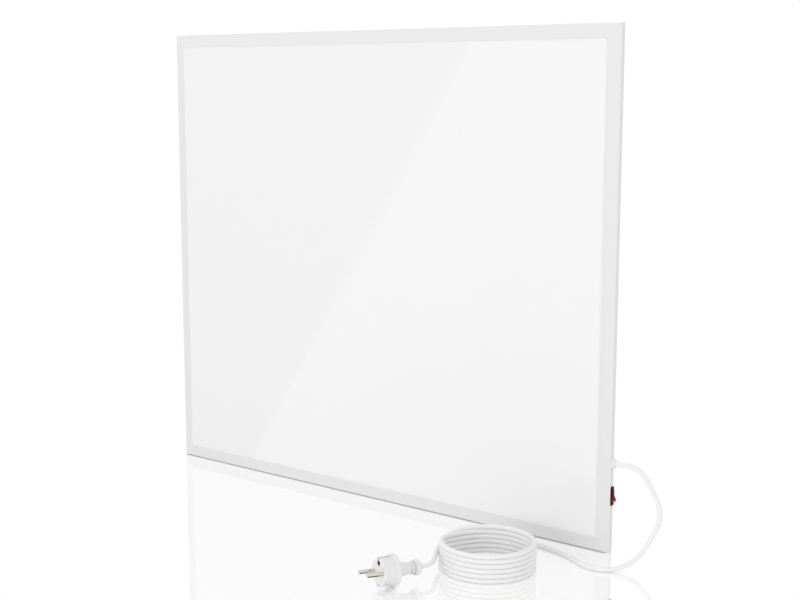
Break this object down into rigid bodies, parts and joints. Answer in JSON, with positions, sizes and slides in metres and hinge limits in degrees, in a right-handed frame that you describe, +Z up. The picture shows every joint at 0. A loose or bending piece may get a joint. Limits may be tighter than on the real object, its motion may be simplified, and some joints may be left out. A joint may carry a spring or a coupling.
{
  "type": "infrared panel heater",
  "caption": "Flat white infrared panel heater in a slim frame, standing on its edge, with a side rocker switch, wall brackets behind, a coiled mains cord and an earthed plug.",
  "frame": {"origin": "middle of the flat strip on which the bottom edge of the frame stands", "axes": "+X along the panel's width towards the switch and cord side, +Y back towards the wall, +Z up"},
  "size_m": [0.7736, 0.3066, 0.6],
  "materials": {
    "frame_powder_coat": "satin",
    "panel_enamel": "gloss",
    "back_sheet": "satin",
    "zinc_steel": "satin",
    "copper": "satin",
    "brass": "satin",
    "nickel_brass": "polished",
    "aluminium": "polished",
    "heater_film": "satin",
    "silicone": "matte",
    "insulation": "matte",
    "nylon_white": "satin",
    "nylon_clear": "satin",
    "switch_black": "satin",
    "rocker_red": "gloss",
    "lamp_glass": "gloss",
    "cord_white": "satin",
    "core_brown": "satin",
    "core_blue": "satin",
    "core_green": "satin",
    "plug_white": "satin"
  },
  "bodies": {
    "panel": {"back_cover": "back_sheet", "bracket_rivets": "aluminium", "busbars": "copper", "cable_bush": "nylon_white", "cord_coil": "cord_white", "cord_cores": "core_brown", "cord_drop": "cord_white", "cord_ferrule": "nickel_brass", "cord_inner": "cord_white", "cord_tail": "cord_white", "corner_keys": "zinc_steel", "earth_lead": "core_green", "earth_nut": "zinc_steel", "earth_ring": "nickel_brass", "earth_screw": "zinc_steel", "frame_bar_bottom": "frame_powder_coat", "frame_bar_left": "frame_powder_coat", "frame_bar_right": "frame_powder_coat", "frame_bar_top": "frame_powder_coat", "front_panel": "panel_enamel", "heating_film": "heater_film", "insulation_batt": "insulation", "live_leads": "core_brown", "neutral_leads": "core_blue", "panel_clips": "zinc_steel", "panel_seal": "silicone", "plug_body": "plug_white", "plug_earth_clips": "nickel_brass", "plug_earth_sleeve": "nickel_brass", "plug_pins": "nickel_brass", "reflector_foil": "aluminium", "rim_screws": "zinc_steel", "service_cover": "back_sheet", "service_screws": "zinc_steel", "solder_pads": "brass", "switch_housing": "switch_black", "switch_terminals": "brass", "tab_receptacles": "nylon_clear", "terminal_block": "nylon_white", "terminal_screws": "zinc_steel", "thermal_cutout": "nylon_white", "wall_brackets": "zinc_steel"},
    "rocker": {"switch_rocker": "rocker_red", "switch_plunger": "brass", "plunger_spring": "zinc_steel", "switch_lamp": "lamp_glass"},
    "bridge": {"contact_bridge": "brass"}
  },
  "joints": [
    {"name": "rocker_tilt", "type": "hinge", "parent": "panel", "child": "rocker", "pos_m": [0.3488, 0.0003, 0.0675], "axis": [0, 1, 0], "range_deg": [0, 26]},
    {"name": "bridge_tilt", "type": "hinge", "parent": "panel", "child": "bridge", "pos_m": [0.34223, 0.0003, 0.0675], "axis": [0, 1, 0], "range_deg": [-14, 0]}
  ],
  "couplings": [
    {"joint": "bridge_tilt", "follows": "rocker_tilt", "ratio": -0.53846}
  ]
}
